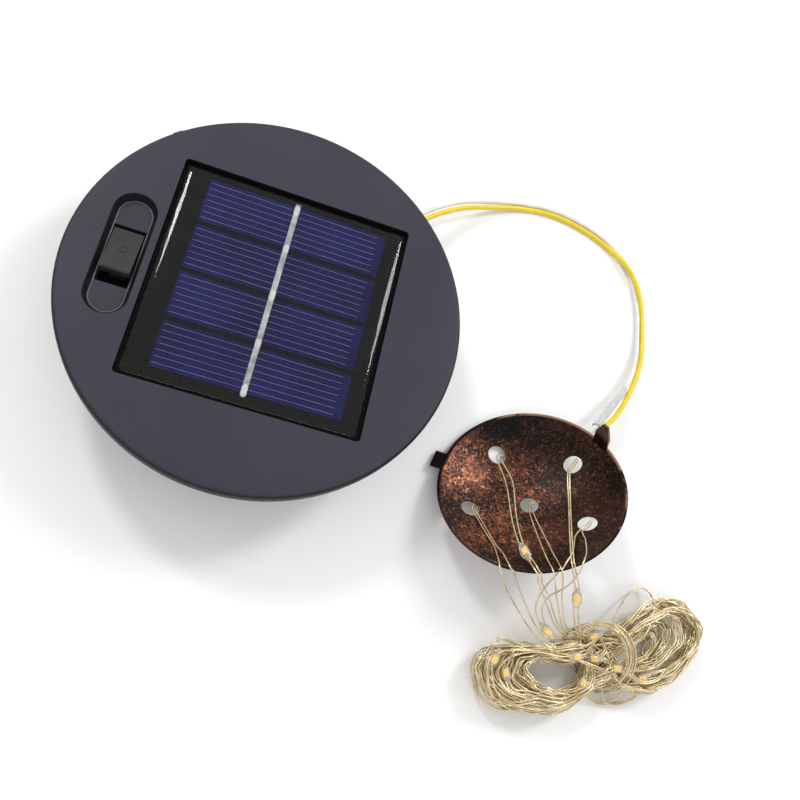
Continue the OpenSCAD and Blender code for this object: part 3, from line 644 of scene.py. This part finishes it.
def newCube(name, place, size):
    clearSelection()
    bpy.ops.mesh.primitive_cube_add(size=1.0)
    piece = bpy.context.object
    piece.name = piece.data.name = name
    piece.scale = [v * mm for v in size]
    piece.location = [v * mm for v in place]
    bpy.ops.object.transform_apply(location=True, rotation=False, scale=True)
    return piece


def applyAll(piece):
    clearSelection()
    piece.select_set(True)
    bpy.context.view_layer.objects.active = piece
    for modifier in list(piece.modifiers):
        bpy.ops.object.modifier_apply(modifier=modifier.name)


def selectFaces(piece, test):
    bpy.ops.object.mode_set(mode="OBJECT")
    for part in (piece.data.vertices, piece.data.edges, piece.data.polygons):
        for item in part:
            item.select = False
    for face in piece.data.polygons:
        face.select = test(face)
    bpy.ops.object.mode_set(mode="EDIT")
    bpy.ops.mesh.select_mode(type="FACE")


def makeFingers():
    low, high = cornersOf("solar_cells")
    strip = stripTall()
    left, right = low.x + panel["margins"][0], high.x - panel["margins"][1]
    first = low.y + (strip - panel["fingerPitch"] * (panel["fingers"] - 1)) / 2
    piece = newCube("cellFingers", ((left + right) / 2, first, high.z + panel["fingerTall"] / 2),
                    (right - left, panel["fingerWide"], panel["fingerTall"]))
    bpy.ops.object.mode_set(mode="EDIT")
    bpy.ops.mesh.select_all(action="SELECT")
    bpy.ops.mesh.bevel(offset=panel["fingerTall"] * panel["fingerEdge"] * mm, segments=1)
    bpy.ops.object.mode_set(mode="OBJECT")
    rows = (panel["fingers"], panel["fingerPitch"]), (panel["strips"], strip + panel["stripGap"])
    for count, pitch in rows:
        row = piece.modifiers.new("row", "ARRAY")
        row.use_relative_offset = False
        row.use_constant_offset = True
        row.constant_offset_displace = (0, pitch * mm, 0)
        row.count = count
    applyAll(piece)
    return piece


def makeSolder():
    low, high = cornersOf("cell_busbar")
    cellLow, _ = cornersOf("solar_cells")
    middle = (low.x + high.x) / 2
    strip, gap, (first, last) = stripTall(), panel["stripGap"], panel["solderEnds"]
    between = [cellLow.y + (strip + gap) * k - gap / 2 + panel["solderShift"]
               for k in range(1, panel["strips"])]
    spots = [low.y + first, *between, high.y - last]
    clearSelection()
    bpy.ops.mesh.primitive_uv_sphere_add(segments=20, ring_count=12, radius=0.5)
    blob = bpy.context.object
    blob.scale = [v * mm for v in panel["solderSize"]]
    bpy.ops.object.transform_apply(location=False, rotation=False, scale=True)
    for v in blob.data.vertices:  # a flowed pad, wider where it wets the ribbon
        v.co.x *= 1 - 0.25 * math.cos(v.co.y / mm * 2.6) ** 2
        v.co.z = max(v.co.z, -0.02 * mm)
    smoothFaces(blob)
    parts = []
    for k, y in enumerate(spots):
        stretch = Matrix.Diagonal((1, 1 + 0.25 * math.sin(3.1 * k + 0.6), 1, 1))
        place = Matrix.Translation((middle * mm, y * mm, high.z * mm)) @ stretch
        parts.append(placedCopy(blob, f"solderPart{k}", place))
    bpy.data.objects.remove(blob, do_unlink=True)
    clearSelection()
    for part in parts:
        part.select_set(True)
    bpy.context.view_layer.objects.active = parts[0]
    bpy.ops.object.join()
    parts[0].name = parts[0].data.name = "busbarSolder"
    return parts[0]


def makeDome():
    low, high = cornersOf("panel_epoxy")
    side = high.x - low.x
    foot, height = panel["domeFoot"], panel["domeBlock"]
    piece = newCube("epoxyDome", ((low.x + high.x) / 2, (low.y + high.y) / 2, foot + height / 2),
                    (side, high.y - low.y, height))
    done, last = 0.0, height
    selectFaces(piece, lambda face: face.normal.z > 0.9)
    for come, rise in panel["domeSteps"]:
        bpy.ops.mesh.inset(thickness=(come - done) * mm)
        bpy.ops.transform.translate(value=(0, 0, (rise - last) * mm))
        done, last = come, rise
    bpy.ops.mesh.select_mode(type="EDGE")
    bpy.ops.mesh.select_all(action="DESELECT")
    bpy.ops.object.mode_set(mode="OBJECT")
    middle = (low + high) / 2 * mm
    for edge in piece.data.edges:  # the four corners, from the foot up to the flat
        a, b = (piece.data.vertices[k].co - middle for k in edge.vertices)
        edge.select = all(abs(abs(v.x) - abs(v.y)) < 0.01 * mm for v in (a, b)) and (a - b).length < 3 * mm
    bpy.ops.object.mode_set(mode="EDIT")
    bpy.ops.mesh.bevel(offset=panel["domeCorner"] * mm, segments=4)
    bpy.ops.object.mode_set(mode="OBJECT")
    bpy.ops.object.shade_smooth_by_angle(angle=math.radians(50))
    largest = max(piece.data.polygons, key=lambda face: face.area if face.normal.z > 0.5 else 0)
    largest.use_smooth = False  # the flat middle
    return piece


cellFingers, busbarSolder, epoxyDome = makeFingers(), makeSolder(), makeDome()
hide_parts("panel_epoxy")
for piece, slotName in ((cellFingers, "busbar_silver"), (busbarSolder, "solder"), (epoxyDome, "clear_epoxy")):
    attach(piece, "root")
print("panel detailed")

# switch recess
recess = {"inset": 0.98, "bead": 0.16, "floor": 18.2, "middle": (-29.1, 0.0), "width": 8.6, "length": 26.4}


def makeBead():
    clearSelection()
    radius = recess["width"] / 2 - recess["inset"]
    bpy.ops.mesh.primitive_torus_add(major_segments=64, minor_segments=10, major_radius=radius * mm,
                                     minor_radius=recess["bead"] * mm)
    piece = bpy.context.object
    piece.name = piece.data.name = "switchRecessBead"
    reach = (recess["length"] / 2 - recess["inset"] - radius) * mm
    for v in piece.data.vertices:  # the ring's halves move apart into a racetrack
        v.co.y += reach if v.co.y > 0 else -reach
    piece.location = (recess["middle"][0] * mm, recess["middle"][1] * mm, recess["floor"] * mm)
    bpy.ops.object.transform_apply(location=True, rotation=False, scale=False)
    smoothFaces(piece)
    return piece


recessBead = makeBead()
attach(recessBead, "root")
print("switch recess detailed")

# finishes
lidLook = {
    "light": (0.029, 0.0285, 0.043), "dark": (0.021, 0.0205, 0.033), "wall": (0.003, 0.003, 0.004),
    "rough": 0.55, "cloud": 45, "grain": 3200, "grainDepth": 0.00004,
    # painted shade: the recess walls and the rim's side are darker than the top and the recess floor
    "wallSpan": (18.0, 20.2),
    "wallSteps": [(0.11, (0, 0, 0)), (0.17, (1, 1, 1)), (0.80, (1, 1, 1)), (0.89, (0, 0, 0))],
}
roseLook = {
    "black": (0.004, 0.003, 0.004), "rough": 0.4, "metal": 0.75,
    "tones": [(0.42, (0.07, 0.026, 0.014)), (0.54, (0.14, 0.046, 0.022)), (0.62, (0.40, 0.17, 0.09))],
    "specks": [(0.685, (1, 1, 1)), (0.725, (0, 0, 0))],
    # the sheet's edge, bare worn copper with a painted highlight near one point, and dark elsewhere
    "edge": (0.75, 0.35), "wornLitPlace": (74.0, -3.0, 10.0), "wornLitFall": -22.0,
    "edgeTones": [(0.05, (0.006, 0.004, 0.004)), (0.2, (0.75, 0.42, 0.28))],
    # lighter towards one side and darker away from it: its middle, how far it reaches, and how much lighter
    # and darker
    "lightPlace": (52.0, -27.0, 5.0), "lightSpan": (7, 24), "lightness": (2.0, 0.42),
    "grainDepth": 0.00006,
}


def rangeOf(nodes, links, source, span, ends=(0.0, 1.0)):
    level = addNode(nodes, "ShaderNodeMapRange", From_Min=span[0] * mm, From_Max=span[1] * mm,
                    To_Min=ends[0], To_Max=ends[1])
    links.new(source, level.inputs["Value"])
    return level.outputs["Result"]


def distanceFrom(nodes, links, point):
    place = addNode(nodes, "ShaderNodeTexCoord")
    away = addNode(nodes, "ShaderNodeVectorMath", operation="DISTANCE")
    links.new(place.outputs["Object"], away.inputs[0])
    away.inputs[1].default_value = [v * mm for v in point]
    return away.outputs["Value"]


def multiplyAdd(nodes, links, source, factor, added):
    total = addNode(nodes, "ShaderNodeMath", operation="MULTIPLY_ADD")
    links.new(source, total.inputs[0])
    total.inputs[1].default_value = factor
    links.new(added, total.inputs[2])
    return total.outputs["Value"]


def mixOf(nodes, links, share, first, second):
    mix = addNode(nodes, "ShaderNodeMix", data_type="RGBA")
    links.new(share, mix.inputs["Factor"])
    for socket, colour in ((mix.inputs[6], first), (mix.inputs[7], second)):
        if isinstance(colour, tuple):
            socket.default_value = (*colour, 1.0)
        else:
            links.new(colour, socket)
    return mix.outputs[2]


def lidFinish():
    finish, nodes, links, shader = newFinish("lidPlastic", lidLook["light"], lidLook["rough"])
    cloudy = objectNoise(nodes, links, lidLook["cloud"])
    tone = rampOf(nodes, links, cloudy, [(0.3, lidLook["dark"]), (0.7, lidLook["light"])])
    place = addNode(nodes, "ShaderNodeTexCoord")
    split = addNode(nodes, "ShaderNodeSeparateXYZ")
    links.new(place.outputs["Object"], split.inputs["Vector"])
    # painted shade: between the recess floor and the top, the recess walls and the rim's side turn near black
    level = rangeOf(nodes, links, split.outputs["Z"], lidLook["wallSpan"])
    wall = rampOf(nodes, links, level, lidLook["wallSteps"])
    links.new(mixOf(nodes, links, wall, tone, lidLook["wall"]), shader.inputs["Base Color"])
    addBump(nodes, links, shader, objectNoise(nodes, links, lidLook["grain"], 2), 0.25, lidLook["grainDepth"])
    return finish


def roseFinish():
    finish, nodes, links, shader = newFinish("agedCopper", roseLook["tones"][0][1], roseLook["rough"],
                                             roseLook["metal"])
    tone = rampOf(nodes, links, objectNoise(nodes, links, 900, 6, 0.8), roseLook["tones"])
    speck = objectNoise(nodes, links, 1900, 6, 0.85)
    patch = objectNoise(nodes, links, 85, 3, 0.6)
    dark = rampOf(nodes, links, multiplyAdd(nodes, links, patch, 0.4, speck), roseLook["specks"])
    mottled = mixOf(nodes, links, dark, tone, roseLook["black"])
    inner, outer = roseLook["edge"]
    fromMiddle = distanceFrom(nodes, links, rose["rimMiddle"])
    edge = rangeOf(nodes, links, fromMiddle, (rose["rim"] - inner, rose["rim"] - outer))
    # wear and painted highlight: the edge turns bright copper near one point
    fromWornLit = distanceFrom(nodes, links, roseLook["wornLitPlace"])
    ragged = objectNoise(nodes, links, 260, 3)
    wornAndLitEdge = rampOf(nodes, links, multiplyAdd(nodes, links, fromWornLit, roseLook["wornLitFall"], ragged),
                    roseLook["edgeTones"])
    edged = mixOf(nodes, links, edge, mottled, wornAndLitEdge)
    fromLight = distanceFrom(nodes, links, roseLook["lightPlace"])
    level = rangeOf(nodes, links, fromLight, roseLook["lightSpan"], roseLook["lightness"])
    scaled = addNode(nodes, "ShaderNodeVectorMath", operation="SCALE")
    links.new(edged, scaled.inputs[0])
    links.new(level, scaled.inputs["Scale"])
    links.new(scaled.outputs["Vector"], shader.inputs["Base Color"])
    addBump(nodes, links, shader, speck, 0.35, roseLook["grainDepth"])
    return finish


# dark and light tone, scale of the mottling, roughness, metal, then the grain's strength, scale and depth
plainLooks = {
    "cellBlue": ((0.004, 0.004, 0.06), (0.012, 0.014, 0.135), 70, 0.5, 0.0, 0.1, 900, 0.00002),
    "boardBlack": ((0.004, 0.004, 0.004), (0.007, 0.007, 0.006), 200, 0.7, 0.0, 0.03, 1500, 0.00001),
    "busbarSilver": ((0.3, 0.31, 0.31), (0.72, 0.72, 0.7), 500, 0.35, 0.5, 0.3, 900, 0.00004),
    "fingerSilver": ((0.15, 0.16, 0.32), (0.24, 0.25, 0.44), 300, 0.5),
    "solderBright": ((0.66, 0.66, 0.64), (0.9, 0.9, 0.88), 700, 0.3, 0.35, 0.4, 1200, 0.00006),
    "clearEpoxy": ((0.97, 0.98, 0.98), (1.0, 1.0, 1.0), 300, 0.03),
    "clearSleeve": ((0.86, 0.88, 0.88), (0.95, 0.96, 0.96), 300, 0.2),
    # painted highlight: the bead is lighter grey than the lid, standing in for the bright line at the
    # recess's lower edge
    "beadHighlightGrey": ((0.075, 0.073, 0.085), (0.12, 0.118, 0.13), 300, 0.35),
    "switchBlack": ((0.016, 0.018, 0.017), (0.025, 0.027, 0.025), 400, 0.5, 0.0, 0.25, 3000, 0.00004),
    "housingPlastic": ((0.012, 0.012, 0.015), (0.022, 0.022, 0.026), 90, 0.5, 0.0, 0.25, 2800, 0.00004),
    "softBlack": ((0.006, 0.006, 0.006), (0.014, 0.014, 0.014), 300, 0.7, 0.0, 0.3, 2200, 0.00005),
    "plainSteel": ((0.42, 0.42, 0.44), (0.66, 0.66, 0.68), 600, 0.3, 0.95, 0.2, 2600, 0.00002),
    "contactBrass": ((0.28, 0.19, 0.07), (0.5, 0.36, 0.15), 500, 0.35, 0.9),
    "foamTape": ((0.62, 0.62, 0.58), (0.8, 0.8, 0.77), 900, 0.9, 0.0, 0.6, 2600, 0.0001),
    "sleeveGreen": ((0.03, 0.12, 0.05), (0.05, 0.17, 0.07), 200, 0.35),
    "boardGreen": ((0.01, 0.06, 0.02), (0.016, 0.09, 0.035), 300, 0.4, 0.0, 0.2, 1800, 0.00002),
    "inductorGreen": ((0.09, 0.28, 0.12), (0.14, 0.36, 0.17), 500, 0.35),
    "wireRed": ((0.32, 0.012, 0.01), (0.42, 0.02, 0.014), 400, 0.35),
    "wireBlack": ((0.008, 0.008, 0.008), (0.015, 0.015, 0.015), 400, 0.4),
}
finishes = {name: variedFinish(name, *values)[0] for name, values in plainLooks.items()}
finishes["lidPlastic"] = lidFinish()
finishes["agedCopper"] = roseFinish()

# how clear each is, and how much it bends light
glassLooks = {"clearEpoxy": (1.0, 1.34), "clearSleeve": (0.6, 1.45)}
for name, (through, bend) in glassLooks.items():
    shader = finishes[name].node_tree.nodes["Principled BSDF"]
    shader.inputs["Transmission Weight"].default_value = through
    shader.inputs["IOR"].default_value = bend
dullLooks = {"cellBlue": 0.1, "fingerSilver": 0.1, "boardBlack": 0.05, "lidPlastic": 0.35,
             "switchBlack": 0.35}
for name, shine in dullLooks.items():
    shader = finishes[name].node_tree.nodes["Principled BSDF"]
    shader.inputs["Specular IOR Level"].default_value = shine

finishOfNode = {
    "lid_cover": "lidPlastic", "panel_tape": "foamTape", "panel_board": "boardBlack",
    "solar_cells": "cellBlue", "cell_busbar": "busbarSilver",
    "switch_body": "housingPlastic", "switch_rocker": "switchBlack",
    "switch_pin": "plainSteel", "switch_contact": "contactBrass", "switch_terminals": "contactBrass",
    "housing": "housingPlastic", "lid_gasket": "softBlack", "lid_screws": "plainSteel",
    "battery_door": "housingPlastic", "battery_can": "plainSteel", "battery_sleeve": "sleeveGreen",
    "spring_contact": "plainSteel", "plate_contact": "plainSteel", "circuit_board": "boardGreen",
    "board_screws": "plainSteel", "driver_chip": "switchBlack", "inductor": "inductorGreen",
    "diode": "wireBlack", "panel_wires": "wireRed", "switch_wires": "wireBlack", "battery_wires": "wireRed",
    "lead_grommet": "softBlack", "lead_sleeve": "clearSleeve", "splice_joints": "solderBright",
    "rose_plate": "agedCopper",
}
for node, name in finishOfNode.items():
    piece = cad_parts[node]
    if not piece.material_slots:
        piece.data.materials.append(finishes[name])
    for place in piece.material_slots:
        place.material = finishes[name]
for piece, name in ((cellFingers, "fingerSilver"), (busbarSolder, "solderBright"), (epoxyDome, "clearEpoxy"),
                    (recessBead, "beadHighlightGrey")):
    dress(piece, finishes[name])
print("finishes given")

# floor
clearSelection()
bpy.ops.mesh.primitive_plane_add(size=2 * studio["floorHalf"], location=(0, 0, -0.00002))
floor = bpy.context.object
floor.name = "floor"
floorFinish, _ = variedFinish("paleFloor", studio["floorColour"], studio["floorColour"], 3, 0.9)
dress(floor, floorFinish)
